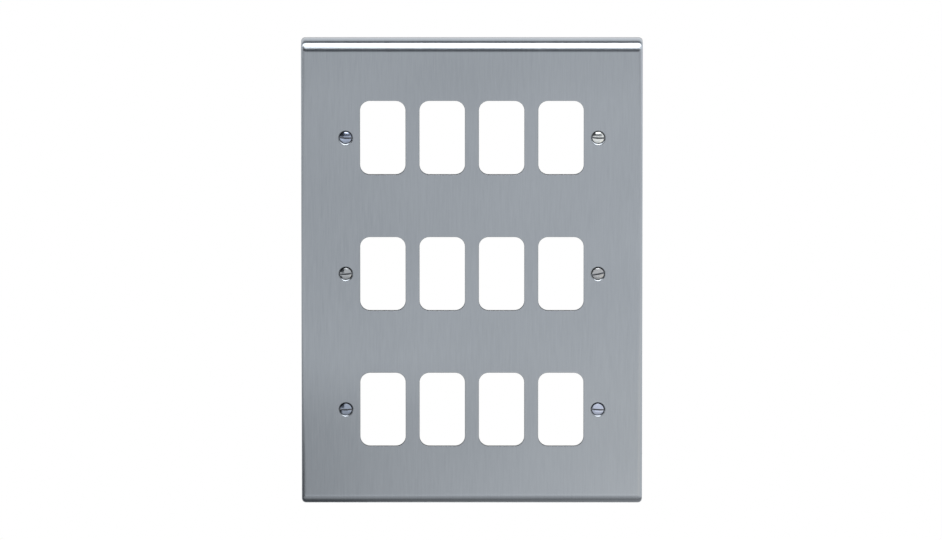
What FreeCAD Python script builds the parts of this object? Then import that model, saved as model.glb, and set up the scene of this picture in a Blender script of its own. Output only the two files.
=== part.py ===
import FreeCAD, Part
import math
import os

# Front plate of a grid of switch modules: one steel pressing, open at the back, and the
# screws that draw it against the wall. X runs across, Z up, and the wall is the plane Y = 0,
# so the plate's face looks along -Y. The origin is the middle of the wall side. Sizes in mm.

# Grid of modules that shows through the plate
COLUMNS = 4
ROWS = 3
COLUMN_PITCH = 25.4
ROW_PITCH = 60.3
WINDOW_WIDTH = 19.4
WINDOW_HEIGHT = 32.6
WINDOW_CORNER_RADIUS = 4.2

# Pressed plate
SHEET = 1.2
END_MARGIN = 42.7  # centre of an outer row to the top or bottom edge
SIDE_MARGIN = 19.0  # centre of a screw to the side edge
END_ROLL_RADIUS = 5.0  # bull-nosed top and bottom edges, measured outside
SIDE_ROLL_RADIUS = 2.0  # tighter bend of the two sides
CORNER_RADIUS = 1.8  # outline's corners, seen from the front
RIM_HEIGHT = 2.0  # straight wall between the end roll and the wall
TIGHTEST_BEND = 0.3  # smallest radius that the press leaves inside a bend

# Dimpled screw seats, pressed back out of the face
SEAT_OFFSET = 6.2  # edge of an outer window to the screw's centre
SEAT_DIAMETER = 6.4  # mouth of the dimple in the face
SEAT_ANGLE = 90.0
SEAT_LIP = 0.6  # straight hole behind the cone
HOLE_DIAMETER = 4.0

# Slotted raised countersunk screws
HEAD_DIAMETER = 5.3
HEAD_RISE = 0.7  # height of the dome
HEAD_LAND = 0.15  # short cylinder at the head's edge
SLOT_WIDTH = 0.7
SLOT_DEPTH = 0.8
SLOT_ANGLES = (-3.0, 5.0, 1.0, -2.0, 11.0, -3.0)  # degrees, rising to the right
NECK_DIAMETER = 3.0
THREAD_DIAMETER = 3.5
THREAD_LENGTH = 13.0
TIP_CHAMFER = 0.4
SEAT_CLEARANCE = 0.05  # head to dimple, along the screw
THREAD_CLEARANCE = 0.3  # back of the dimple to the first thread

# Worked out from the sizes above
GRID_WIDTH = (COLUMNS - 1) * COLUMN_PITCH + WINDOW_WIDTH
SCREW_X = GRID_WIDTH / 2 + SEAT_OFFSET
PLATE_WIDTH = 2 * (SCREW_X + SIDE_MARGIN)
PLATE_HEIGHT = (ROWS - 1) * ROW_PITCH + 2 * END_MARGIN
PLATE_DEPTH = END_ROLL_RADIUS + RIM_HEIGHT
FACE_Y = -PLATE_DEPTH
SEAT_SLOPE = math.tan(math.radians(SEAT_ANGLE / 2))
SEAT_WALL = SHEET / math.cos(math.radians(SEAT_ANGLE / 2))  # sheet cut square to the screw
SEAT_CONE_DEPTH = (SEAT_DIAMETER - HOLE_DIAMETER) / 2 / SEAT_SLOPE
SEAT_DEPTH = SEAT_CONE_DEPTH + SEAT_LIP
COLUMN_PLACES = [(i - (COLUMNS - 1) / 2) * COLUMN_PITCH for i in range(COLUMNS)]
ROW_PLACES = [((ROWS - 1) / 2 - i) * ROW_PITCH for i in range(ROWS)]
SCREW_PLACES = [(x, z) for x in (-SCREW_X, SCREW_X) for z in ROW_PLACES]

BACKWARDS = FreeCAD.Vector(0, 1, 0)
TOWARDS_VIEWER = FreeCAD.Vector(0, -1, 0)
OVERCUT = 1.0  # how far a cutter runs past the faces that it opens


def rolled_block(doc, width, height, depth, end_radius, side_radius, corner_radius):
    """A block with its back on the wall and its front edges and corners rounded together."""
    block = doc.addObject("Part::Box", "block")
    block.Length = width
    block.Width = depth
    block.Height = height
    block.Placement.Base = FreeCAD.Vector(-width / 2, -depth, -height / 2)
    doc.recompute()
    radii = []
    for number, edge in enumerate(block.Shape.Edges, 1):
        box = edge.BoundBox
        at_front = box.YMax < -depth / 2
        if box.YLength > depth / 2:
            radii.append((number, corner_radius, corner_radius))
        elif at_front and box.XLength > width / 2:
            radii.append((number, end_radius, end_radius))
        elif at_front:
            radii.append((number, side_radius, side_radius))
    rolled = doc.addObject("Part::Fillet", "rolled")
    rolled.Base = block
    rolled.Edges = radii
    doc.recompute()
    return rolled.Shape


def inside(radius):
    """The radius inside a bend of the sheet."""
    return max(radius - SHEET, TIGHTEST_BEND)


def pressed_shell(doc):
    """The rolled pressing, before its windows and seats: sheet of one thickness, open behind."""
    outer = rolled_block(
        doc, PLATE_WIDTH, PLATE_HEIGHT, PLATE_DEPTH,
        END_ROLL_RADIUS, SIDE_ROLL_RADIUS, CORNER_RADIUS)
    hollow = rolled_block(
        doc, PLATE_WIDTH - 2 * SHEET, PLATE_HEIGHT - 2 * SHEET, PLATE_DEPTH - SHEET,
        inside(END_ROLL_RADIUS), inside(SIDE_ROLL_RADIUS), inside(CORNER_RADIUS))
    return outer.cut(hollow)


def window_cutter(x, z):
    """The punch of one module window: a rectangle with rounded corners, through the sheet."""
    corner = FreeCAD.Vector(x - WINDOW_WIDTH / 2, FACE_Y - OVERCUT, z - WINDOW_HEIGHT / 2)
    punch = Part.makeBox(WINDOW_WIDTH, SHEET + 2 * OVERCUT, WINDOW_HEIGHT, corner)
    corners = [edge for edge in punch.Edges if edge.BoundBox.YLength > SHEET]
    return punch.makeFillet(WINDOW_CORNER_RADIUS, corners)


def seat_boss(x, z):
    """The back of a dimple: the sheet drawn out in a cone around the screw."""
    foot = FreeCAD.Vector(x, FACE_Y + SHEET / 2, z)
    front_radius = SEAT_DIAMETER / 2 + SEAT_WALL
    foot_radius = front_radius - SHEET / 2 * SEAT_SLOPE
    end_radius = front_radius - SEAT_DEPTH * SEAT_SLOPE
    return Part.makeCone(foot_radius, end_radius, SEAT_DEPTH - SHEET / 2, foot, BACKWARDS)


def seat_cutter(x, z):
    """The front of a dimple: a countersink for the head and a hole for the screw."""
    mouth = FreeCAD.Vector(x, FACE_Y - OVERCUT, z)
    mouth_radius = SEAT_DIAMETER / 2 + OVERCUT * SEAT_SLOPE
    cone = Part.makeCone(
        mouth_radius, HOLE_DIAMETER / 2, SEAT_CONE_DEPTH + OVERCUT, mouth, BACKWARDS)
    hole = Part.makeCylinder(HOLE_DIAMETER / 2, SEAT_DEPTH + 2 * OVERCUT, mouth, BACKWARDS)
    return cone.fuse(hole)


def front_plate(doc):
    plate = pressed_shell(doc).fuse([seat_boss(x, z) for x, z in SCREW_PLACES])
    windows = [window_cutter(x, z) for x in COLUMN_PLACES for z in ROW_PLACES]
    seats = [seat_cutter(x, z) for x, z in SCREW_PLACES]
    return plate.cut(windows + seats).removeSplitter()


def screw_section():
    """Half of a screw's section in the XY plane, with its axis on Y and its depth from the face."""
    head_radius = HEAD_DIAMETER / 2
    neck_radius = NECK_DIAMETER / 2
    thread_radius = THREAD_DIAMETER / 2
    rim = FACE_Y + (SEAT_DIAMETER - HEAD_DIAMETER) / 2 / SEAT_SLOPE - SEAT_CLEARANCE
    land = rim - HEAD_LAND
    apex = land - HEAD_RISE
    neck = rim + (head_radius - neck_radius) / SEAT_SLOPE
    thread = FACE_Y + SEAT_DEPTH + THREAD_CLEARANCE
    tip = thread + THREAD_LENGTH
    dome_radius = (head_radius ** 2 + HEAD_RISE ** 2) / (2 * HEAD_RISE)
    half_way = math.asin(head_radius / dome_radius) / 2
    dome_middle = FreeCAD.Vector(
        dome_radius * math.sin(half_way), apex + dome_radius * (1 - math.cos(half_way)), 0)
    outline = [FreeCAD.Vector(r, y, 0) for r, y in (
        (head_radius, land),
        (head_radius, rim),
        (neck_radius, neck),
        (neck_radius, thread),
        (thread_radius, thread),
        (thread_radius, tip - TIP_CHAMFER),
        (thread_radius - TIP_CHAMFER, tip),
        (0, tip),
        (0, apex))]
    dome = Part.Arc(outline[-1], dome_middle, outline[0]).toShape()
    return Part.Face(Part.Wire([dome] + Part.makePolygon(outline).Edges)), apex


def fixing_screw(x, z, slot_angle):
    """One screw, turned from its section, slotted and tightened to its own angle."""
    section, apex = screw_section()
    blank = section.revolve(FreeCAD.Vector(0, 0, 0), BACKWARDS, 360)
    slot = Part.makeBox(
        HEAD_DIAMETER + 2 * OVERCUT, SLOT_DEPTH + OVERCUT, SLOT_WIDTH,
        FreeCAD.Vector(-HEAD_DIAMETER / 2 - OVERCUT, apex - OVERCUT, -SLOT_WIDTH / 2))
    screw = blank.cut(slot)
    screw.rotate(FreeCAD.Vector(0, 0, 0), TOWARDS_VIEWER, slot_angle)
    screw.translate(FreeCAD.Vector(x, 0, z))
    return screw


def fixing_screws():
    """Every screw, as separate solids of one group."""
    return Part.makeCompound([
        fixing_screw(x, z, SLOT_ANGLES[i % len(SLOT_ANGLES)])
        for i, (x, z) in enumerate(SCREW_PLACES)])


def main():
    os.makedirs("parts", exist_ok=True)
    doc = FreeCAD.newDocument("grid_plate")
    nodes = {"front_plate": front_plate(doc), "fixing_screws": fixing_screws()}
    for name, shape in nodes.items():
        shape.exportStep(f"parts/{name}.step")
        size = shape.BoundBox
        print(name, len(shape.Solids), "solid(s), valid", shape.isValid(),
              f"{size.XLength:.2f} x {size.YLength:.2f} x {size.ZLength:.2f} mm",
              f"{shape.Volume:.0f} mm3")


main()
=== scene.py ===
# %% [markdown]
# # A brushed steel plate for a grid of switches
# The object is the front plate of a grid of light switches: one pressing of stainless steel sheet
# with rows of windows for the switch modules, and slotted screws that draw it against the wall.
# The lesson loads the measured solids as a fixed frame, builds a small photo studio around them,
# and then remakes each piece as a fine mesh with its own finish.

# %% Load the frame
import bmesh
import bpy
import math
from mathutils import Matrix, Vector


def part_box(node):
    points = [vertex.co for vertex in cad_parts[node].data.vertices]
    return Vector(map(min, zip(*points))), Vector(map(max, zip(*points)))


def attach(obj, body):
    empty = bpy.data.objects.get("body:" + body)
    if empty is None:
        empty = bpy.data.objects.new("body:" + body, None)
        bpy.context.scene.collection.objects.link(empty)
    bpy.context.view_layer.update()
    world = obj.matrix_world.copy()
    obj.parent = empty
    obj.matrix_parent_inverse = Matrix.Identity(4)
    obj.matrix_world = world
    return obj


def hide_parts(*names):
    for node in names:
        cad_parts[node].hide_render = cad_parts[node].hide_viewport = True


MM = 0.001
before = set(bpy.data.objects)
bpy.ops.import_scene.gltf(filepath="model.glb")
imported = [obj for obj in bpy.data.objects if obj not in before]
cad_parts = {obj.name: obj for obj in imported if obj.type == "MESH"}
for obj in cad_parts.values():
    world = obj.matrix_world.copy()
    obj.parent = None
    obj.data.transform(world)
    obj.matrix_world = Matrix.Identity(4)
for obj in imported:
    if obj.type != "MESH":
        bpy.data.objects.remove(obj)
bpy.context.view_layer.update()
plate_low, plate_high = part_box("front_plate")
plate_size = [round(v / MM, 1) for v in plate_high - plate_low]
print("frame:", sorted(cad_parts), "plate in mm:", plate_size)

# %% [markdown]
# ## The camera
# The plate is seen from a little above, and its sides stay parallel, so the camera stands far off
# with a long lens. A short lens close by would make the sides lean together. The height of the
# camera comes from how much the rows are squeezed, and the scale from the pitch of the columns.

# %% Camera
IMAGE_WIDTH = 942
IMAGE_HEIGHT = 540
PIXELS_PER_MM = 2.336
GRID_CENTRE_PIXEL = (471.9, 273.9)
CAMERA_ELEVATION = math.radians(15.4)
CAMERA_DISTANCE = 10.0
CLIP_DISTANCE = 100.0
SENSOR_WIDTH = 36.0

metres_per_pixel = MM / PIXELS_PER_MM
view_up = Vector((0, math.sin(CAMERA_ELEVATION), math.cos(CAMERA_ELEVATION)))
view_back = Vector((0, -math.cos(CAMERA_ELEVATION), math.sin(CAMERA_ELEVATION)))
right_of_centre = (GRID_CENTRE_PIXEL[0] - IMAGE_WIDTH / 2) * metres_per_pixel
below_centre = (GRID_CENTRE_PIXEL[1] - IMAGE_HEIGHT / 2) * metres_per_pixel
target = Vector((-right_of_centre, plate_low.y, 0)) + view_up * below_centre

lens = bpy.data.cameras.new("camera")
lens.sensor_width = SENSOR_WIDTH
lens.lens = SENSOR_WIDTH * CAMERA_DISTANCE / (IMAGE_WIDTH * metres_per_pixel)
lens.clip_end = CLIP_DISTANCE
camera = bpy.data.objects.new("camera", lens)
camera.location = target + view_back * CAMERA_DISTANCE
camera.rotation_euler = (math.pi / 2 - CAMERA_ELEVATION, 0, 0)
bpy.context.scene.collection.objects.link(camera)
bpy.context.scene.camera = camera
bpy.context.scene.view_settings.view_transform = "Standard"
print("camera:", round(lens.lens), "mm lens at", CAMERA_DISTANCE, "m")


# %% [markdown]
# ## Helpers for colours and nodes
# Colours are written as they look on a screen, and one function turns them into the linear values
# that shaders work with. Every node of every tree is added by one small function, which sets or
# links its inputs in the same call, so a tree reads from top to bottom like a recipe.

# %% Helpers for colours and nodes
def colour(code):
    """A screen colour such as "9AA0A8" as linear red, green, blue and alpha."""
    channels = [int(code[i:i + 2], 16) / 255 for i in (0, 2, 4)]
    return [c / 12.92 if c <= 0.04045 else ((c + 0.055) / 1.055) ** 2.4 for c in channels] + [1.0]


def add(tree, kind, inputs=None, **settings):
    """Add a node with its settings. An input that is a socket is linked, any other is a value."""
    made = tree.nodes.new(kind)
    for name, value in settings.items():
        setattr(made, name, value)
    for name, value in (inputs or {}).items():
        if isinstance(value, bpy.types.NodeSocket):
            tree.links.new(value, made.inputs[name])
        else:
            made.inputs[name].default_value = value
    return made


def new_material(name):
    """An empty node material."""
    made = bpy.data.materials.new(name)
    made.use_nodes = True
    made.node_tree.nodes.clear()
    return made


WHITE = colour("FFFFFF")
print("helpers: white is", WHITE)

# %% [markdown]
# ## The studio
# Steel shows its surroundings more than its own colour, so the studio is set up as a photographer
# would: white paper all round, one soft light above the camera, and cloths that draw crisp lines
# along the rolled edges. The paper is lit evenly by a glow that only the camera and mirror rays
# see. Below the plate it turns partly into plain paper, so that it keeps the plate's shadow.

# %% Background and floor
FLOOR_DROP = 1.0
FLOOR_SIZE = 60.0
SHADOW_REACH = 1.2
PLAIN_SHARE = 0.3
PAPER = colour("F4F4F4")
AMBIENT = 0.5


def seen_directly(tree):
    """One for rays from the camera, a mirror or a glass, and zero for soft light."""
    path = add(tree, "ShaderNodeLightPath").outputs
    seen = path["Is Camera Ray"]
    for ray in ("Is Glossy Ray", "Is Transmission Ray"):
        seen = add(tree, "ShaderNodeMath", {0: seen, 1: path[ray]}, operation="MAXIMUM").outputs[0]
    return seen


world = bpy.data.worlds.new("white_studio")
bpy.context.scene.world = world
world.use_nodes = True
world.node_tree.nodes.clear()
brightness = add(world.node_tree, "ShaderNodeMapRange", {
    "Value": seen_directly(world.node_tree), "To Min": AMBIENT, "To Max": 1.0})
background = add(world.node_tree, "ShaderNodeBackground", {
    "Color": WHITE, "Strength": brightness.outputs["Result"]})
add(world.node_tree, "ShaderNodeOutputWorld", {"Surface": background.outputs[0]})


def white_paper():
    """Paper that glows for the camera, and is partly plain around the place below the plate."""
    paper = new_material("white_paper")
    tree = paper.node_tree
    place = add(tree, "ShaderNodeTexCoord")
    centred = add(tree, "ShaderNodeMapping", {
        "Vector": place.outputs["Object"], "Location": (0, 0, FLOOR_DROP / SHADOW_REACH),
        "Scale": (1 / SHADOW_REACH,) * 3})
    near = add(tree, "ShaderNodeTexGradient", {"Vector": centred.outputs[0]}, gradient_type="SPHERICAL")
    away = add(tree, "ShaderNodeMapRange", {
        "Value": near.outputs["Fac"], "To Min": 1.0, "To Max": 1.0 - PLAIN_SHARE})
    share = add(tree, "ShaderNodeMath", {
        0: away.outputs["Result"], 1: seen_directly(tree)}, operation="MULTIPLY")
    matte = add(tree, "ShaderNodeBsdfDiffuse", {"Color": PAPER})
    glow = add(tree, "ShaderNodeEmission", {"Color": WHITE, "Strength": 1.0})
    mixed = add(tree, "ShaderNodeMixShader", {
        0: share.outputs[0], 1: matte.outputs[0], 2: glow.outputs[0]})
    add(tree, "ShaderNodeOutputMaterial", {"Surface": mixed.outputs[0]})
    return paper


def board(name, corners, material):
    """A flat board of the studio with these corners."""
    mesh = bpy.data.meshes.new(name)
    mesh.from_pydata(corners, [], [range(len(corners))])
    mesh.materials.append(material)
    made = bpy.data.objects.new(name, mesh)
    bpy.context.scene.collection.objects.link(made)
    return made


half_floor = FLOOR_SIZE / 2
corner_signs = ((-1, -1), (1, -1), (1, 1), (-1, 1))
board("floor", [(x * half_floor, y * half_floor, -FLOOR_DROP) for x, y in corner_signs], white_paper())
print("studio: paper", FLOOR_DROP, "m below the plate")

# %% [markdown]
# ## What the rolled edges mirror
# A rolled edge mirrors the studio from floor to ceiling within a few millimetres. So strips of
# cloth and paper hang right across the studio, each between two angles counted upwards from
# straight ahead. A grey cloth at eye level gives the line along the top of the face, bright paper
# above it the white band, and a cloth behind that the thin line at the back. Papers below, darker
# towards the wall, shade the bottom edge. Only the metal sees them: each glows evenly, and is
# hidden from the camera and from soft light.

# %% Strips across the studio
STRIPS = (  # angles in degrees, distance and half width in metres, colour and brightness
    ("front_cloth", -4, 25, 2.0, 3.0, "7C7E82", 1.0),
    ("overhead_paper", 50, 81, 1.8, 3.0, "FFFFFF", 3.0),
    ("ceiling_cloth", 87, 108, 2.0, 3.0, "646669", 1.0),
    ("ceiling_paper", 120, 168, 2.0, 3.0, "FFFFFF", 1.35),
    ("table_edge", -38, -22, 0.9, 2.0, "FFFFFF", 1.25),
    ("table_front", -53, -40, 0.9, 2.0, "E8E8E8", 1.0),
    ("table_middle", -70, -53, 0.9, 2.0, "D4D4D4", 1.0),
    ("table_back", -125, -70, 0.9, 2.0, "9C9C9C", 1.0),
)


def across(angle, reach):
    """A place in the middle of the studio at this angle above straight ahead."""
    turn = math.radians(angle)
    return Vector((0, -reach * math.cos(turn), reach * math.sin(turn)))


def hang(name, corners, code, strength):
    """Hang a cloth or paper of one even brightness that only the metal sees."""
    cloth = new_material(name)
    glow = add(cloth.node_tree, "ShaderNodeEmission", {"Color": colour(code), "Strength": strength})
    add(cloth.node_tree, "ShaderNodeOutputMaterial", {"Surface": glow.outputs[0]})
    made = board(name, corners, cloth)
    made.visible_camera = False
    made.visible_diffuse = False
    made.visible_shadow = False


for name, low, high, reach, half_width, code, strength in STRIPS:
    side = Vector((half_width, 0, 0))
    bottom = across(low, reach)
    top = across(high, reach)
    hang(name, [bottom - side, bottom + side, top + side, top - side], code, strength)
print("studio:", len(STRIPS), "strips")

# %% [markdown]
# ## What the face and the screw heads mirror
# Small flags close to the plate shade single places, because each place mirrors them at another
# angle. A paper and a cloth at the lower left darken that corner of the face and the bend beside
# it, and a paper at the lower right lifts the other corner. A dark cloth at the upper left gives
# every dome a dark side, and a paper in front hides the grey cloth from the lower screws. A paper
# on the right keeps the bend there light. Under the bottom edge, a cloth darkens its left end and
# a paper lightens its right end.

# %% Flags near the plate
FLAGS = (  # colour, brightness and corners in metres
    ("left_low_paper", "EBEBEB", 1.0, (
        (-0.010, -0.127, -0.160), (-0.160, -0.127, -0.160),
        (-0.160, -0.127, -0.088), (-0.010, -0.127, -0.088))),
    ("left_low_cloth", "2E3034", 1.0, (
        (-0.160, -0.127, -0.200), (-0.400, 0.200, -0.240),
        (-0.400, 0.200, -0.168), (-0.160, -0.127, -0.106))),
    ("left_high_cloth", "34363A", 1.0, (
        (-0.900, -0.357, 0.030), (-0.450, -0.357, 0.030), (-0.130, -0.357, 0.100),
        (-0.130, -0.357, 0.650), (-0.900, -0.357, 0.650))),
    ("middle_paper", "FFFFFF", 1.0, (
        (-0.100, -0.157, -0.090), (0.450, -0.157, -0.090),
        (0.450, -0.157, 0.070), (-0.100, -0.157, 0.070))),
    ("right_low_paper", "FFFBF3", 1.24, (
        (0.120, -0.207, -0.250), (0.600, -0.207, -0.250),
        (0.600, -0.207, -0.060), (0.120, -0.207, -0.060))),
    ("right_paper", "FFFFFF", 1.2, (
        (0.450, -0.500, -0.450), (0.450, 0.300, -0.450),
        (0.450, 0.300, 0.400), (0.450, -0.500, 0.400))),
    ("left_end_cloth", "686A6E", 1.0, (
        (-0.250, -0.020, -0.190), (-0.045, -0.020, -0.190),
        (-0.045, 0.090, -0.190), (-0.250, 0.090, -0.190))),
    ("right_end_paper", "B5B5B5", 1.0, (
        (0.250, -0.020, -0.190), (0.030, -0.020, -0.190),
        (0.030, 0.090, -0.190), (0.250, 0.090, -0.190))),
)

for name, code, strength, corners in FLAGS:
    hang(name, corners, code, strength)
print("studio:", len(FLAGS), "flags")

# %% [markdown]
# ## The soft light
# One lamp stands in front of the bright paper, about three times as wide as the plate. It is a flat
# area lamp, like the white front of a softbox, so its edges in the metal stay soft, where a point
# lamp would leave hard sparks. It faces the plate, and the camera doesn't see it.

# %% Soft light
LIGHT_ANGLES = (37, 80)
LIGHT_REACH = 0.6
LIGHT_WIDTH = 0.45
LIGHT_POWER = 2.7

light_edges = [across(angle, LIGHT_REACH) for angle in LIGHT_ANGLES]
softbox = bpy.data.lights.new("softbox", "AREA")
softbox.shape = "RECTANGLE"
softbox.size = LIGHT_WIDTH
softbox.size_y = (light_edges[1] - light_edges[0]).length
softbox.energy = LIGHT_POWER
lamp = bpy.data.objects.new("softbox", softbox)
lamp.location = (light_edges[0] + light_edges[1]) / 2
lamp.rotation_euler = lamp.location.to_track_quat("Z", "Y").to_euler()
lamp.visible_camera = False
bpy.context.scene.collection.objects.link(lamp)
print("studio: light", LIGHT_WIDTH, "by", round(softbox.size_y, 2), "m")

# %% [markdown]
# ## Brushed stainless steel
# Austenitic stainless sheet, brushed from top to bottom with a fine abrasive belt. The belt leaves
# short strokes, so light spreads widely across them and hardly at all along them, and the eye sees
# a satin sheen with fine upright lines. The shader is therefore much rougher across the strokes
# than along them, and noise that is stretched along them drives tone, roughness and relief.
# Inside, the sheet keeps its even, dull finish from the mill. Where it was punched, the torn edge
# is rougher and carries painted shade, and painted shade also fills the gaps round the screws.
# Attributes of the mesh say where.

# %% Brushed steel
STROKE_WIDTH = 0.05 * MM
STROKE_LENGTH = 10.0 * MM
DRAWN_COARSER = 10
CLOUD_SIZE = 60.0 * MM
CLOUD_SHARE = 0.38
# Painted light: how fast the tone rises from left to right.
PAINTED_LIGHT_SLOPE = 1.8
BELT_TONES = ("8A9097", "A8AEB5")
BELT_ROUGHNESS = (0.29, 0.35)
MILL_TONE = "8C9095"
MILL_ROUGHNESS = 0.42
# Painted shade: the dark tone of the cut walls, with their rougher finish below.
CUT_SHADE_TONE = "4A4D50"
CUT_ROUGHNESS = 0.6
NOISE_RANGE = (0.3, 0.7)  # where nearly all values of a noise lie
ANISOTROPY = 0.9
SPREAD_TURN = 0.25  # in turns, from along the strokes to across them, where light spreads
STROKE_DEPTH = 0.01 * MM
STROKE_RELIEF = 0.15
# Painted shade: the dark tone laid into the gaps round the screw heads.
SHADE_TONE = colour("26282A")


def stroke_noise(tree, place):
    """Noise of brush strokes. Real strokes are finer than a pixel, so they are drawn ten times as
    wide. On faces that look sideways the pattern is turned, to run along the wall there too."""
    width = STROKE_WIDTH * DRAWN_COARSER
    strokes = []
    for size_x, size_y in ((width, STROKE_LENGTH), (STROKE_LENGTH, width)):
        stretched = add(tree, "ShaderNodeMapping", {
            "Vector": place.outputs["Object"], "Scale": (1 / size_x, 1 / size_y, 1 / STROKE_LENGTH)})
        strokes.append(add(tree, "ShaderNodeTexNoise", {
            "Vector": stretched.outputs[0], "Scale": 1.0, "Detail": 3.0, "Roughness": 0.6}))
    facing = add(tree, "ShaderNodeSeparateXYZ", {0: place.outputs["Normal"]})
    sideways = add(tree, "ShaderNodeMath", {0: facing.outputs["X"]}, operation="ABSOLUTE")
    stroke = add(tree, "ShaderNodeMix", {
        "Factor": sideways.outputs[0], "A": strokes[0].outputs["Fac"], "B": strokes[1].outputs["Fac"]})
    return stroke.outputs["Result"]


def steel_tone(tree, place, stroke):
    """Strokes on faint clouds, and painted light: a tone that rises a little from left to right, as
    the light on the plate grows towards the right."""
    cloud = add(tree, "ShaderNodeTexNoise", {
        "Vector": place.outputs["Object"], "Scale": 1 / CLOUD_SIZE, "Detail": 1.0})
    grain = add(tree, "ShaderNodeMix", {"Factor": CLOUD_SHARE, "A": stroke, "B": cloud.outputs["Fac"]})
    # Painted light: the tone rises from left to right across the plate.
    where = add(tree, "ShaderNodeSeparateXYZ", {0: place.outputs["Object"]})
    shade = add(tree, "ShaderNodeMath", {
        0: where.outputs["X"], 1: PAINTED_LIGHT_SLOPE, 2: grain.outputs["Result"]}, operation="MULTIPLY_ADD")
    darker, lighter = [colour(code) for code in BELT_TONES]
    tone = add(tree, "ShaderNodeMix", {
        "Factor": shade.outputs[0], 6: darker, 7: lighter}, data_type="RGBA")
    return tone.outputs[2]


def brushed_steel():
    """The sheet's finish: brushed outside, dull inside, painted shade on cut walls and round screws."""
    steel = new_material("brushed_stainless_steel")
    tree = steel.node_tree
    place = add(tree, "ShaderNodeTexCoord")
    stroke = stroke_noise(tree, place)
    tone = steel_tone(tree, place, stroke)
    rough = add(tree, "ShaderNodeMapRange", {
        "Value": stroke, "From Min": NOISE_RANGE[0], "From Max": NOISE_RANGE[1],
        "To Min": BELT_ROUGHNESS[0], "To Max": BELT_ROUGHNESS[1]}).outputs["Result"]
    # Dull inside from the mill; rougher on the cut walls, whose darker tone is painted shade.
    for attribute, code, roughness in (
            ("mill_finish", MILL_TONE, MILL_ROUGHNESS), ("sheared", CUT_SHADE_TONE, CUT_ROUGHNESS)):
        amount = add(tree, "ShaderNodeAttribute", attribute_name=attribute).outputs["Fac"]
        tone = add(tree, "ShaderNodeMix", {
            "Factor": amount, 6: tone, 7: colour(code)}, data_type="RGBA").outputs[2]
        rough = add(tree, "ShaderNodeMix", {"Factor": amount, "A": rough, "B": roughness}).outputs["Result"]
    # Painted shade in the gap round each screw head, and faintly over the lip.
    grime = add(tree, "ShaderNodeAttribute", attribute_name="grime")
    shaded_tone = add(tree, "ShaderNodeMix", {
        "Factor": grime.outputs["Fac"], 6: tone, 7: SHADE_TONE}, data_type="RGBA")
    relief = add(tree, "ShaderNodeBump", {
        "Height": stroke, "Strength": STROKE_RELIEF, "Distance": STROKE_DEPTH})
    direction = add(tree, "ShaderNodeTangent", direction_type="RADIAL", axis="X")
    shader = add(tree, "ShaderNodeBsdfPrincipled", {
        "Base Color": shaded_tone.outputs[2], "Metallic": 1.0, "Roughness": rough,
        "Anisotropic": ANISOTROPY, "Anisotropic Rotation": SPREAD_TURN,
        "Tangent": direction.outputs[0], "Normal": relief.outputs[0]})
    add(tree, "ShaderNodeOutputMaterial", {"Surface": shader.outputs[0]})
    return steel


steel = brushed_steel()
print("finish:", steel.name, len(steel.node_tree.nodes), "nodes")

# %% [markdown]
# ## Bright plated steel
# The screws are turned from mild steel and plated with bright nickel and chrome. The plating
# mirrors the studio nearly as well as polished metal, with a faint haze from years of cleaning.
# It has dulled from screw to screw to another grey, on some of them bluish, and each screw's colour
# also holds painted shade, darker on the three screws on the left. The slot keeps a duller, darker
# floor, where polishing never reaches, and painted shade lies along the rim of the head.

# %% Plated steel
HAZE_SIZE = 0.6 * MM
HAZE_TONE = colour("DADADA")
PLATED_ROUGHNESS = (0.14, 0.22)
SLOT_TONE = colour("686B70")
SLOT_ROUGHNESS = 0.4


def plated_steel():
    """A bright mirror with a faint haze, painted shade in each tint and at the rim, and a duller slot."""
    plating = new_material("bright_plated_steel")
    tree = plating.node_tree
    place = add(tree, "ShaderNodeTexCoord")
    haze = add(tree, "ShaderNodeTexNoise", {
        "Vector": place.outputs["Object"], "Scale": 1 / HAZE_SIZE, "Detail": 4.0}).outputs["Fac"]
    # Each screw's own tint, with painted shade that darkens the screws on the left.
    film = add(tree, "ShaderNodeAttribute", attribute_name="film").outputs["Color"]
    # The slot's faces, and painted shade along the rim of the head.
    slot, grime = [add(tree, "ShaderNodeAttribute", attribute_name=name).outputs["Fac"]
                   for name in ("slot", "grime")]
    tone = add(tree, "ShaderNodeMix", {
        "Factor": haze, 6: film, 7: HAZE_TONE}, data_type="RGBA", blend_type="MULTIPLY").outputs[2]
    for amount, finish in ((slot, SLOT_TONE), (grime, SHADE_TONE)):
        tone = add(tree, "ShaderNodeMix", {
            "Factor": amount, 6: tone, 7: finish}, data_type="RGBA").outputs[2]
    rough = add(tree, "ShaderNodeMapRange", {
        "Value": haze, "From Min": NOISE_RANGE[0], "From Max": NOISE_RANGE[1],
        "To Min": PLATED_ROUGHNESS[0], "To Max": PLATED_ROUGHNESS[1]})
    rougher = add(tree, "ShaderNodeMix", {
        "Factor": slot, "A": rough.outputs["Result"], "B": SLOT_ROUGHNESS})
    shader = add(tree, "ShaderNodeBsdfPrincipled", {
        "Base Color": tone, "Metallic": 1.0, "Roughness": rougher.outputs["Result"]})
    add(tree, "ShaderNodeOutputMaterial", {"Surface": shader.outputs[0]})
    return plating


plating = plated_steel()
print("finish:", plating.name, len(plating.node_tree.nodes), "nodes")

# %% [markdown]
# ## Rings and rounded lines
# Both pieces are made lying on their backs, face up, and stood up at the end. A form is a stack of
# rings with the same number of points, joined by faces from each ring to the next. Primitives and
# bevels could give the same outlines, but with rings every bend has the radius that it is given.

# %% Rings and rounded lines
CORNER_STEPS = 10
TURN_STEPS = 64


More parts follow.
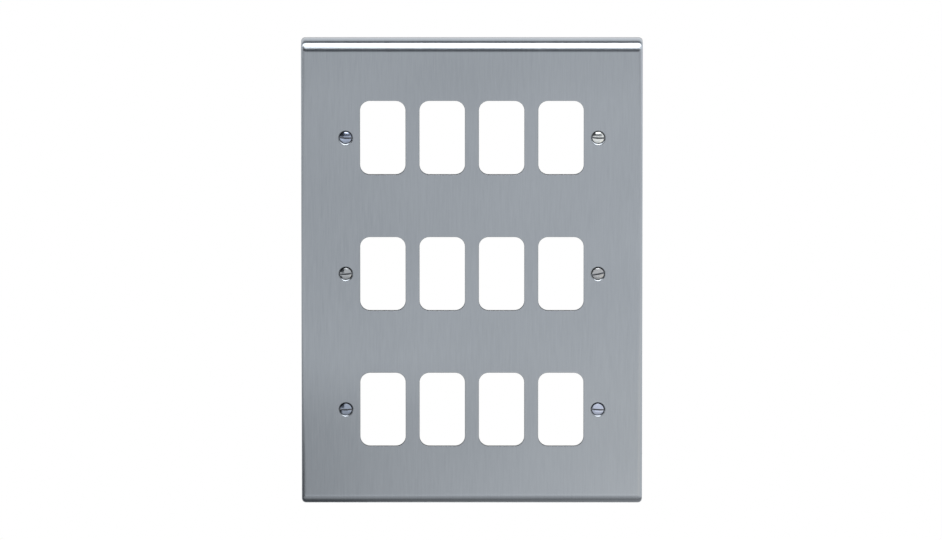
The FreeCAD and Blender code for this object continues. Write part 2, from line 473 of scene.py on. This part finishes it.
def rounded_line(corners, steps):
    """Points along a line whose corners, given as (x, y, radius), are rounded by arcs."""
    line = []
    for i, (x, y, radius) in enumerate(corners):
        corner = Vector((x, y))
        if radius == 0:
            line.append(corner)
            continue
        back = (Vector(corners[i - 1][:2]) - corner).normalized()
        ahead = (Vector(corners[i + 1][:2]) - corner).normalized()
        half_angle = back.angle(ahead) / 2
        middle = corner + (back + ahead).normalized() * radius / math.sin(half_angle)
        start = corner + back * radius / math.tan(half_angle) - middle
        end = corner + ahead * radius / math.tan(half_angle) - middle
        line += [middle + radius * start.slerp(end, k / steps).normalized() for k in range(steps + 1)]
    return line


def rounded_ring(width, height, corner, level):
    """A rounded rectangle, anticlockwise from its right-hand side."""
    ring = []
    for quarter, (x, y) in enumerate(((1, 1), (-1, 1), (-1, -1), (1, -1))):
        for k in range(CORNER_STEPS + 1):
            angle = math.pi / 2 * (quarter + k / CORNER_STEPS)
            ring.append((x * (width / 2 - corner) + corner * math.cos(angle),
                         y * (height / 2 - corner) + corner * math.sin(angle), level))
    return ring


def round_ring(radius, level):
    """A circle about the screw's axis."""
    turns = [2 * math.pi * k / TURN_STEPS for k in range(TURN_STEPS)]
    return [(radius * math.cos(a), radius * math.sin(a), level) for a in turns]


def loft(rings, climb=0):
    """Points and faces through the rings. Around a thread the last point of a ring meets the first
    point of the ring that is a whole turn, or climb rings, further on."""
    count = len(rings[0])
    points = [point for ring in rings for point in ring]
    faces = []
    for k in range(len(rings) - 1):
        for i in range(count):
            ring, place = (k, i + 1) if i + 1 < count else (k + climb, 0)
            if ring + 1 < len(rings):
                ahead = ring * count + place
                faces.append((k * count + i, (k + 1) * count + i, ahead + count, ahead))
    return points, faces


def piece_object(name, points, faces, **attributes):
    """A new mesh object. Attributes with a value or a colour for each point can go with it."""
    mesh = bpy.data.meshes.new(name)
    mesh.from_pydata(points, [], faces)
    for attribute, values in attributes.items():
        if isinstance(values[0], float):
            mesh.attributes.new(attribute, "FLOAT", "POINT").data.foreach_set("value", values)
        else:
            channels = [channel for value in values for channel in value]
            mesh.attributes.new(attribute, "FLOAT_COLOR", "POINT").data.foreach_set("color", channels)
    made = bpy.data.objects.new(name, mesh)
    bpy.context.scene.collection.objects.link(made)
    return made


print("helpers: rings of", 4 * (CORNER_STEPS + 1), "and", TURN_STEPS, "points")

# %% [markdown]
# ## The rolled border
# The press turns the sheet back to the wall all round: in a wide roll along the top and bottom and
# in a tight bend down the sides, so no single profile can be swept round it. Instead, each ring is
# a level of the border, as wide and as high as the two bends are at that level. The stack runs
# from the face over the bend to the cut rim, and back up the inside of the sheet.

# %% Rolled border
SHEET = 1.2 * MM
END_ROLL = 5.0 * MM
SIDE_ROLL = 2.0 * MM
CORNER = 1.8 * MM
SHARPEST = 0.15 * MM
CUT_EDGE = 0.15 * MM
FLAT_MARGIN = 0.5 * MM
RIM_CUT_FINISH_AND_SHADE = 0.4
BEND_STEPS = 14
EDGE_STEPS = 4
PLATE_WIDTH = plate_high.x - plate_low.x
PLATE_HEIGHT = plate_high.z - plate_low.z
FACE = -plate_low.y
BACK = FACE - SHEET


def set_back(radius, depth):
    """How far a bend still stands back from the wall at this depth below the flat."""
    if depth >= radius:
        return 0.0
    return radius - math.sqrt(radius ** 2 - (radius - depth) ** 2)


def bend(inset, end_roll, side_roll, corner, level):
    """Rings down one surface of the bend, from the flat to the straight wall."""
    side_end = math.acos(1 - side_roll / end_roll)
    angles = [side_end * k / BEND_STEPS for k in range(BEND_STEPS)]
    angles += [side_end + (math.pi / 2 - side_end) * k / BEND_STEPS for k in range(BEND_STEPS + 1)]
    rings = [rounded_ring(PLATE_WIDTH - 2 * (inset + side_roll + FLAT_MARGIN),
                          PLATE_HEIGHT - 2 * (inset + end_roll + FLAT_MARGIN), SHARPEST, level)]
    for angle in angles:
        depth = end_roll * (1 - math.cos(angle))
        side = set_back(side_roll, depth)
        end = set_back(end_roll, depth)
        rings.append(rounded_ring(PLATE_WIDTH - 2 * (inset + side), PLATE_HEIGHT - 2 * (inset + end),
                                  max(corner * (1 - side / side_roll), SHARPEST), level - depth))
    return rings


outside = bend(0, END_ROLL, SIDE_ROLL, CORNER, FACE)
inside = bend(SHEET, END_ROLL - SHEET, SIDE_ROLL - SHEET, CORNER - SHEET, BACK)
rim_line = rounded_line([
    (0, 3 * CUT_EDGE, 0),
    (0, 0, CUT_EDGE),
    (SHEET, 0, CUT_EDGE),
    (SHEET, 3 * CUT_EDGE, 0)], EDGE_STEPS)
rim = [rounded_ring(PLATE_WIDTH - 2 * inset, PLATE_HEIGHT - 2 * inset, CORNER - inset, level)
       for inset, level in rim_line]
border_points, border_faces = loft(outside + rim + inside[::-1])
ring_size = len(rim[0])
dull_rings = [0.0] * len(outside + rim) + [1.0] * len(inside)
# The cut rim takes part of the torn edge's finish and its painted shade.
cut_rings = [0.0] * len(outside) + [RIM_CUT_FINISH_AND_SHADE] * len(rim) + [0.0] * len(inside)
plate = piece_object("front_plate_pressing", border_points, border_faces,
                     mill_finish=[value for value in dull_rings for i in range(ring_size)],
                     sheared=[value for value in cut_rings for i in range(ring_size)])
print("border:", len(outside + rim + inside), "rings,", len(border_faces), "faces")

# %% [markdown]
# ## One dimpled seat
# Each screw head sits in a dimple that the press draws back out of the face. Its section runs from
# the back of the sheet, round the boss and through the hole to the soft lip in the face, and the
# rings turn it about the screw's axis. It is made once, and copied into place later. Painted shade
# fills the gap round the head, and a fainter painted shade lies over the lip.

# %% Dimpled seat
SEAT_DIAMETER = 6.4 * MM
HOLE_DIAMETER = 4.0 * MM
SEAT_LIP = 0.6 * MM
LIP_ROUNDING = 0.5 * MM
BOSS_ROUNDING = 0.5 * MM
# Painted shade: dark in the gap round the head out to these radii, and faint over the lip.
SHADE_RADIUS = 2.67 * MM
SHADE_FADE = 0.08 * MM
LIP_SHADE = 0.22
HAIR = 0.015 * MM

mouth = SEAT_DIAMETER / 2
hole = HOLE_DIAMETER / 2
cone_end = FACE - (mouth - hole)
seat_end = cone_end - SEAT_LIP
boss_foot = mouth + SHEET * math.sqrt(2) - SHEET
boss_end = boss_foot - (BACK - seat_end)
grime_end = SHADE_RADIUS + SHADE_FADE
seat_line = rounded_line([
    (boss_foot + 2 * FLAT_MARGIN, BACK, 0),
    (boss_foot, BACK, BOSS_ROUNDING),
    (boss_end, seat_end, CUT_EDGE),
    (hole, seat_end, CUT_EDGE),
    (hole, cone_end, CUT_EDGE),
    (SHADE_RADIUS, FACE - (mouth - SHADE_RADIUS), 0),
    (grime_end, FACE - (mouth - grime_end), 0),
    (mouth, FACE, LIP_ROUNDING),
    (mouth + 2 * FLAT_MARGIN, FACE, 0)], 2 * EDGE_STEPS)
seat_points, seat_faces = loft([round_ring(radius, level) for radius, level in seat_line])


def seat_grime(x, y, level):
    """Painted shade: full round the head, faint on the lip, and none on the flat or behind."""
    if level < cone_end or level > FACE - HAIR:
        return 0.0
    return 1.0 if math.hypot(x, y) < SHADE_RADIUS + HAIR else LIP_SHADE


seat = piece_object("seat", seat_points, seat_faces,
                    mill_finish=[float(level < cone_end) for x, y, level in seat_points],
                    grime=[seat_grime(*point) for point in seat_points])
print("seat:", len(seat_faces), "faces")

# %% [markdown]
# ## Geometry Nodes in a script
# A tree is built once with named inputs for its sizes. A piece then runs it as a modifier, and the
# result is kept as a plain mesh, because instances and live modifiers don't travel to other tools.
# An input is set by its socket's identifier, which stays the same when its name is changed.

# %% Geometry node helpers
WELD = 0.0005 * MM


def tree_with_inputs(name, sizes):
    """A new tree that takes geometry and the named sizes."""
    tree = bpy.data.node_groups.new(name, "GeometryNodeTree")
    tree.interface.new_socket("Geometry", in_out="INPUT", socket_type="NodeSocketGeometry")
    for title, kind in sizes.items():
        tree.interface.new_socket(title, in_out="INPUT", socket_type="NodeSocket" + kind)
    tree.interface.new_socket("Geometry", in_out="OUTPUT", socket_type="NodeSocketGeometry")
    return tree, add(tree, "NodeGroupInput").outputs


def join(tree, parts):
    """One geometry of several."""
    joined = add(tree, "GeometryNodeJoinGeometry")
    for part in parts:
        tree.links.new(part, joined.inputs[0])
    return joined.outputs[0]


def stand_up(tree, lying, material):
    """The end of a tree: turn the piece upright, make it real and give it its finish."""
    upright = add(tree, "GeometryNodeTransform", {"Geometry": lying, "Rotation": (math.pi / 2, 0, 0)})
    real = add(tree, "GeometryNodeRealizeInstances", {"Geometry": upright.outputs[0]})
    finished = add(tree, "GeometryNodeSetMaterial", {"Geometry": real.outputs[0], "Material": material})
    add(tree, "NodeGroupOutput", {"Geometry": finished.outputs[0]})


def run_tree(piece, tree, values):
    """Run the tree on the piece with these inputs, and keep its result as a plain mesh."""
    modifier = piece.modifiers.new(tree.name, "NODES")
    modifier.node_group = tree
    for socket in tree.interface.items_tree:
        if socket.name in values and socket.in_out == "INPUT":
            modifier[socket.identifier] = values[socket.name]
    graph = bpy.context.evaluated_depsgraph_get()
    result = bpy.data.meshes.new_from_object(piece.evaluated_get(graph))
    piece.modifiers.remove(modifier)
    piece.data = result


def face_outwards(piece):
    """Merge what coincides, turn every face outwards and report open edges."""
    shape = bmesh.new()
    shape.from_mesh(piece.data)
    bmesh.ops.remove_doubles(shape, verts=shape.verts, dist=WELD)
    bmesh.ops.recalc_face_normals(shape, faces=shape.faces)
    open_edges = sum(not edge.is_manifold for edge in shape.edges)
    print(piece.name, len(shape.faces), "faces,", open_edges, "open edges,",
          round(shape.calc_volume(signed=True) / MM ** 3), "mm3")
    shape.to_mesh(piece.data)
    shape.free()


print("helpers: geometry node trees")

# %% [markdown]
# ## Punching the sheet
# A press punches every window with the same tool, so the tree makes one window, to repeat it later.
# A window is its outline with a short profile swept round it: the rolled-over edge, the cut wall and
# the edge behind. A boolean cut could do it too, but would leave the edges sharp. The cut wall is
# marked by its distance from the middle of the sheet, for the rougher finish of a torn edge and a
# darker tone that is painted shade.

# %% One window
BRUSHED_SHARE = 0.25  # how much of a punched edge stays brushed, as a share of its rounding

punching, sizes = tree_with_inputs("punched_sheet", {
    "Seat": "Object", "Columns": "Int", "Rows": "Int", "Column Pitch": "Float", "Row Pitch": "Float",
    "Window Width": "Float", "Window Height": "Float", "Window Corner": "Float",
    "Punched Edge": "Float", "Flat Margin": "Float", "Seat Spacing": "Float", "Face Level": "Float",
    "Sheet": "Float", "Material": "Material"})

square = add(punching, "GeometryNodeCurvePrimitiveQuadrilateral", {
    "Width": sizes["Window Width"], "Height": sizes["Window Height"]})
outline = add(punching, "GeometryNodeFilletCurve", {
    "Curve": square.outputs[0], "Count": CORNER_STEPS, "Radius": sizes["Window Corner"]}, mode="POLY")
shoulder = add(punching, "ShaderNodeMath", {
    0: sizes["Punched Edge"], 1: sizes["Flat Margin"]}, operation="ADD")
front = add(punching, "ShaderNodeCombineXYZ", {"X": shoulder.outputs[0]})
behind = add(punching, "ShaderNodeCombineXYZ", {"Y": sizes["Sheet"]})
far = add(punching, "ShaderNodeCombineXYZ", {"X": shoulder.outputs[0], "Y": sizes["Sheet"]})
channel = add(punching, "GeometryNodeCurvePrimitiveQuadrilateral", {
    "Point 1": front.outputs[0], "Point 2": (0, 0, 0), "Point 3": behind.outputs[0],
    "Point 4": far.outputs[0]}, mode="POINTS")
opened = add(punching, "GeometryNodeSetSplineCyclic", {"Geometry": channel.outputs[0], "Cyclic": False})
profile = add(punching, "GeometryNodeFilletCurve", {
    "Curve": opened.outputs[0], "Count": EDGE_STEPS, "Radius": sizes["Punched Edge"]}, mode="POLY")
swept = add(punching, "GeometryNodeCurveToMesh", {
    "Curve": outline.outputs[0], "Profile Curve": profile.outputs[0]})

position = add(punching, "GeometryNodeInputPosition")
height = add(punching, "ShaderNodeSeparateXYZ", {0: position.outputs[0]})
half_sheet = add(punching, "ShaderNodeMath", {0: sizes["Sheet"], 1: 0.5}, operation="MULTIPLY")
from_middle = add(punching, "ShaderNodeMath", {
    0: height.outputs["Z"], 1: half_sheet.outputs[0]}, operation="ADD")
half_cut = add(punching, "ShaderNodeMath", {
    0: sizes["Punched Edge"], 1: -BRUSHED_SHARE, 2: half_sheet.outputs[0]}, operation="MULTIPLY_ADD")
on_cut = add(punching, "ShaderNodeMath", {
    0: from_middle.outputs[0], 1: 0.0, 2: half_cut.outputs[0]}, operation="COMPARE")
# The cut wall is marked for a rougher finish and painted shade.
window = add(punching, "GeometryNodeStoreNamedAttribute", {
    "Geometry": swept.outputs[0], "Name": "sheared", "Value": on_cut.outputs[0]},
    data_type="FLOAT", domain="POINT")
print("window: nodes so far", len(punching.nodes))

# %% [markdown]
# ## Rows of windows and seats
# The switch modules stand behind the plate in rows and columns at fixed pitches, and so do the
# windows. A mesh grid has a point for each window, and every point gets a copy. Array modifiers
# could do that as well, but here the seats follow the same rows, on a second grid with a column at
# each side. The copies are made real at once, because the next step looks for their open edges.

# %% Grids of windows and seats
SEAT_COLUMNS = 2


def span(tree, count, pitch):
    """The length of a row of this many places at this pitch."""
    gaps = add(tree, "ShaderNodeMath", {0: count, 1: 1.0}, operation="SUBTRACT")
    return add(tree, "ShaderNodeMath", {0: gaps.outputs[0], 1: pitch}, operation="MULTIPLY").outputs[0]


grid_width = span(punching, sizes["Columns"], sizes["Column Pitch"])
grid_height = span(punching, sizes["Rows"], sizes["Row Pitch"])
window_places = add(punching, "GeometryNodeMeshGrid", {
    "Size X": grid_width, "Size Y": grid_height,
    "Vertices X": sizes["Columns"], "Vertices Y": sizes["Rows"]})
window_copies = add(punching, "GeometryNodeInstanceOnPoints", {
    "Points": window_places.outputs["Mesh"], "Instance": window.outputs[0]})
to_face = add(punching, "ShaderNodeCombineXYZ", {"Z": sizes["Face Level"]})
windows = add(punching, "GeometryNodeTransform", {
    "Geometry": window_copies.outputs[0], "Translation": to_face.outputs[0]})
seat_places = add(punching, "GeometryNodeMeshGrid", {
    "Size X": sizes["Seat Spacing"], "Size Y": grid_height,
    "Vertices X": SEAT_COLUMNS, "Vertices Y": sizes["Rows"]})
seat_shape = add(punching, "GeometryNodeObjectInfo", {"Object": sizes["Seat"]})
seats = add(punching, "GeometryNodeInstanceOnPoints", {
    "Points": seat_places.outputs["Mesh"], "Instance": seat_shape.outputs["Geometry"]})
copies = join(punching, (sizes["Geometry"], windows.outputs[0], seats.outputs[0]))
walls = add(punching, "GeometryNodeRealizeInstances", {"Geometry": copies}).outputs[0]
print("grids: nodes so far", len(punching.nodes))

# %% [markdown]
# ## The flats of the sheet
# Between the border, the windows and the seats the sheet is flat, in front and behind. The walls end
# in open edges there, so the tree picks these edges by their level, turns them into curves and fills
# what lies between: once at the face and once at the back. Faces drawn by hand would fit one set of
# sizes only. The back gets the finish from the mill, and the seams are merged.

# %% Fills between the walls
SEAM = 0.001 * MM

neighbours = add(punching, "GeometryNodeInputMeshEdgeNeighbors")
is_open = add(punching, "FunctionNodeCompare", {
    2: neighbours.outputs[0], 3: 1}, data_type="INT", operation="EQUAL")
middle = add(punching, "ShaderNodeMath", {
    0: sizes["Face Level"], 1: half_sheet.outputs[0]}, operation="SUBTRACT")
at_face = add(punching, "FunctionNodeCompare", {
    0: height.outputs["Z"], 1: middle.outputs[0]}, operation="GREATER_THAN")
back_level = add(punching, "ShaderNodeMath", {
    0: sizes["Face Level"], 1: sizes["Sheet"]}, operation="SUBTRACT").outputs[0]
sheet_parts = [walls]
for choice, level, dullness in (("AND", sizes["Face Level"], 0.0), ("NIMPLY", back_level, 1.0)):
    edges = add(punching, "FunctionNodeBooleanMath", {
        0: is_open.outputs[0], 1: at_face.outputs[0]}, operation=choice)
    loops = add(punching, "GeometryNodeMeshToCurve", {"Mesh": walls, "Selection": edges.outputs[0]})
    web = add(punching, "GeometryNodeFillCurve", {"Curve": loops.outputs[0]}, mode="TRIANGLES")
    lift = add(punching, "ShaderNodeCombineXYZ", {"Z": level})
    flat = add(punching, "GeometryNodeTransform", {
        "Geometry": web.outputs[0], "Translation": lift.outputs[0]})
    finish = add(punching, "GeometryNodeStoreNamedAttribute", {
        "Geometry": flat.outputs[0], "Name": "mill_finish", "Value": dullness},
        data_type="FLOAT", domain="POINT")
    sheet_parts.append(finish.outputs[0])
merged = add(punching, "GeometryNodeMergeByDistance", {
    "Geometry": join(punching, sheet_parts), "Distance": SEAM})
smooth = add(punching, "GeometryNodeSetShadeSmooth", {"Geometry": merged.outputs[0]})
stand_up(punching, smooth.outputs[0], sizes["Material"])
print("punching tree:", len(punching.nodes), "nodes")

# %% [markdown]
# ## The whole plate
# The tree now runs on the rolled border with this plate's sizes: columns of modules one inch apart,
# and windows with well rounded corners. A plate for more modules would need a wider border and
# other numbers here, but the same tree. What it makes is kept as one mesh, as the real plate is one
# piece of sheet.

# %% Punch the plate
COLUMNS = 4
ROWS = 3
COLUMN_PITCH = 25.4 * MM
ROW_PITCH = 60.3 * MM
WINDOW_WIDTH = 19.4 * MM
WINDOW_HEIGHT = 32.6 * MM
WINDOW_CORNER = 4.2 * MM
PUNCHED_EDGE = 0.2 * MM
SCREW_SPACING = 108.0 * MM

run_tree(plate, punching, {
    "Seat": seat, "Columns": COLUMNS, "Rows": ROWS,
    "Column Pitch": COLUMN_PITCH, "Row Pitch": ROW_PITCH,
    "Window Width": WINDOW_WIDTH, "Window Height": WINDOW_HEIGHT, "Window Corner": WINDOW_CORNER,
    "Punched Edge": PUNCHED_EDGE, "Flat Margin": FLAT_MARGIN, "Seat Spacing": SCREW_SPACING,
    "Face Level": FACE, "Sheet": SHEET, "Material": steel})
bpy.data.objects.remove(seat)
face_outwards(plate)

# %% [markdown]
# ## The head of a screw
# A raised countersunk screw has a low dome with a rounded rim, a cone that sits in the dimple, and a
# short neck above the thread. They are turned from one section, as on a lathe. A squashed sphere
# could stand for the dome, but its rim would not be rounded and it would not meet the cone.

# %% Section of the head
HEAD_DIAMETER = 5.3 * MM
HEAD_RISE = 0.7 * MM
HEAD_LAND = 0.15 * MM
RIM_ROUNDING = 0.12 * MM
NECK_DIAMETER = 3.0 * MM
SEAT_CLEARANCE = 0.05 * MM
THREAD_CLEARANCE = 0.3 * MM
DOME_STEPS = 20

head_radius = HEAD_DIAMETER / 2
neck_radius = NECK_DIAMETER / 2
head_rim = FACE - (mouth - head_radius) + SEAT_CLEARANCE
dome_edge = head_rim + HEAD_LAND
dome_top = dome_edge + HEAD_RISE
neck_start = head_rim - (head_radius - neck_radius)
neck_end = seat_end - THREAD_CLEARANCE
dome_radius = (head_radius ** 2 + HEAD_RISE ** 2) / (2 * HEAD_RISE)
dome_turn = math.asin(head_radius / dome_radius)
dome = []
for k in range(DOME_STEPS):
    turn = dome_turn * k / DOME_STEPS
    dome.append((dome_radius * math.sin(turn), dome_top - dome_radius * (1 - math.cos(turn)), 0))
head_line = rounded_line(dome + [
    (head_radius, dome_edge, RIM_ROUNDING),
    (head_radius, head_rim, RIM_ROUNDING),
    (neck_radius, neck_start, CUT_EDGE),
    (neck_radius, neck_end, 0)], EDGE_STEPS)
print("head: dome", round((dome_top - FACE) / MM, 2), "mm above the face")

# %% [markdown]
# ## The thread
# A die rolls the thread as one groove that winds down to a chamfered tip. It climbs, so its rings
# climb too, and each ring ends where the ring a turn later begins. A pattern in the material could
# fake the grooves, but they would look flat from the side. Head, thread and end face then make one
# blank, with painted shade along the rim of the head.

# %% Thread and screw blank
THREAD_RADIUS = 1.75 * MM
THREAD_CORE = 1.42 * MM
THREAD_PITCH = 0.6 * MM
THREAD_LENGTH = 13.0 * MM
TIP_CHAMFER = 0.4 * MM
THREAD_SHAPE = (THREAD_CORE, THREAD_CORE, THREAD_RADIUS, THREAD_RADIUS)
RINGS_PER_TURN = len(THREAD_SHAPE)
# Painted shade: how far above the dome's edge the dark ring at the rim reaches.
RIM_SHADE_HEIGHT = 0.12 * MM

tip = neck_end - THREAD_LENGTH


def thread_point(ring, place):
    """A point of the climbing thread, held to the thread's ends and to its chamfered tip."""
    level = neck_end - THREAD_PITCH * (ring / RINGS_PER_TURN + place / TURN_STEPS)
    radius = THREAD_SHAPE[ring % RINGS_PER_TURN]
    if level >= neck_end:
        level = neck_end
        radius = THREAD_CORE
    level = max(level, tip)
    radius = min(radius, THREAD_RADIUS - TIP_CHAMFER + level - tip)
    angle = 2 * math.pi * place / TURN_STEPS
    return (radius * math.cos(angle), radius * math.sin(angle), level)


last_ring = math.ceil(RINGS_PER_TURN * THREAD_LENGTH / THREAD_PITCH) + 2
thread = [[thread_point(ring, place) for place in range(TURN_STEPS)]
          for ring in range(-RINGS_PER_TURN, last_ring + 1)]
head = [round_ring(radius, level) for radius, level in head_line] + [thread[0]]
end_face = [thread[-1], round_ring(0, tip)]
blank_points = []
blank_faces = []
for rings, climb in ((head, 0), (thread, RINGS_PER_TURN), (end_face, 0)):
    points, faces = loft(rings, climb)
    blank_faces += [tuple(corner + len(blank_points) for corner in face) for face in faces]
    blank_points += points
# Painted shade on the head's cone, its land and the outer edge of the dome.
shaded_levels = (neck_start, dome_edge + RIM_SHADE_HEIGHT)
blank = piece_object(
    "screw_blank", blank_points, blank_faces,
    grime=[float(shaded_levels[0] < level < shaded_levels[1]) for x, y, level in blank_points])
face_outwards(blank)

# %% [markdown]
# ## The slot
# The screws are alike, so the tree cuts the slot once and puts a copy on each place, turned by the
# angle that the place carries. The cut is a boolean, because the slot's edges are as sharp as a saw
# leaves them, and the saw's faces mark the slot for its duller finish. Edges that fold sharply are
# shaded sharp, and all others smooth.

# %% Screw tree
slotting, sizes = tree_with_inputs("slotted_screws", {
    "Blank": "Object", "Slot Width": "Float", "Slot Depth": "Float", "Slot Length": "Float",
    "Dome Top": "Float", "Sharpest Smooth Edge": "Float", "Material": "Material"})
saw_height = add(slotting, "ShaderNodeMath", {0: sizes["Slot Depth"], 1: 2.0}, operation="MULTIPLY")
saw_size = add(slotting, "ShaderNodeCombineXYZ", {
    "X": sizes["Slot Length"], "Y": sizes["Slot Width"], "Z": saw_height.outputs[0]})
saw = add(slotting, "GeometryNodeMeshCube", {"Size": saw_size.outputs[0]})
marked = add(slotting, "GeometryNodeStoreNamedAttribute", {
    "Geometry": saw.outputs["Mesh"], "Name": "slot", "Value": 1.0}, data_type="FLOAT", domain="FACE")
to_top = add(slotting, "ShaderNodeCombineXYZ", {"Z": sizes["Dome Top"]})
placed = add(slotting, "GeometryNodeTransform", {
    "Geometry": marked.outputs[0], "Translation": to_top.outputs[0]})
blank_shape = add(slotting, "GeometryNodeObjectInfo", {"Object": sizes["Blank"]})
slotted = add(slotting, "GeometryNodeMeshBoolean", {
    "Mesh 1": blank_shape.outputs["Geometry"], "Mesh 2": placed.outputs[0]},
    operation="DIFFERENCE", solver="EXACT")
smooth = add(slotting, "GeometryNodeSetShadeSmooth", {
    "Geometry": slotted.outputs["Mesh"]}, domain="FACE")
fold = add(slotting, "GeometryNodeInputMeshEdgeAngle")
sharp = add(slotting, "FunctionNodeCompare", {
    0: fold.outputs["Unsigned Angle"], 1: sizes["Sharpest Smooth Edge"]}, operation="GREATER_THAN")
creased = add(slotting, "GeometryNodeSetShadeSmooth", {
    "Geometry": smooth.outputs[0], "Selection": sharp.outputs[0], "Shade Smooth": False}, domain="EDGE")
slot_angle = add(slotting, "GeometryNodeInputNamedAttribute", {"Name": "slot_angle"}, data_type="FLOAT")
rotation = add(slotting, "ShaderNodeCombineXYZ", {"Z": slot_angle.outputs["Attribute"]})
screw_copies = add(slotting, "GeometryNodeInstanceOnPoints", {
    "Points": sizes["Geometry"], "Instance": creased.outputs[0], "Rotation": rotation.outputs[0]})
stand_up(slotting, screw_copies.outputs[0], sizes["Material"])
print("screw tree:", len(slotting.nodes), "nodes")

# %% [markdown]
# ## Six slotted screws
# Nobody lines up the slots by hand, and no two screws have dulled alike. So every place is a point
# that carries the angle at which its screw was left, and its colour: its own tint, with painted
# shade that makes the three screws on the left darker. Six objects with materials of their own
# would look the same, but the screws are one kind of piece with one finish.

# %% Place the screws
SLOT_WIDTH = 0.7 * MM
SLOT_DEPTH = 0.8 * MM
SAW_LENGTH = 8.0 * MM
SMOOTH_LIMIT = math.radians(40)
SLOT_ANGLES = (-3.0, 5.0, 1.0, -2.0, 11.0, -3.0)  # degrees, rising to the right
# Each screw's tint with painted shade: the first three, on the left, are darker.
TINTS_AND_SHADE = ("A6B1C6", "ADB1B5", "9EA8B9", "E8ECEC", "B7B9BC", "C5CDE1")

rows = [((ROWS - 1) / 2 - i) * ROW_PITCH for i in range(ROWS)]
places = [(x, y, 0) for x in (-SCREW_SPACING / 2, SCREW_SPACING / 2) for y in rows]
screws = piece_object("slotted_screws", places, [], film=[colour(code) for code in TINTS_AND_SHADE],
                      slot_angle=[math.radians(angle) for angle in SLOT_ANGLES])
run_tree(screws, slotting, {
    "Blank": blank, "Slot Width": SLOT_WIDTH, "Slot Depth": SLOT_DEPTH, "Slot Length": SAW_LENGTH,
    "Dome Top": dome_top, "Sharpest Smooth Edge": SMOOTH_LIMIT, "Material": plating})
bpy.data.objects.remove(blank)
print(screws.name, len(screws.data.polygons), "faces")

# %% [markdown]
# ## Hand over
# Each fine mesh takes the place of its solid in the frame.

# %% Hand over
for piece, node, slot in ((plate, "front_plate", "brushed_stainless_steel"),
                          (screws, "fixing_screws", "bright_plated_steel")):
    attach(piece, "root")
    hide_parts(node)

print("handed over:", plate.name, "and", screws.name)
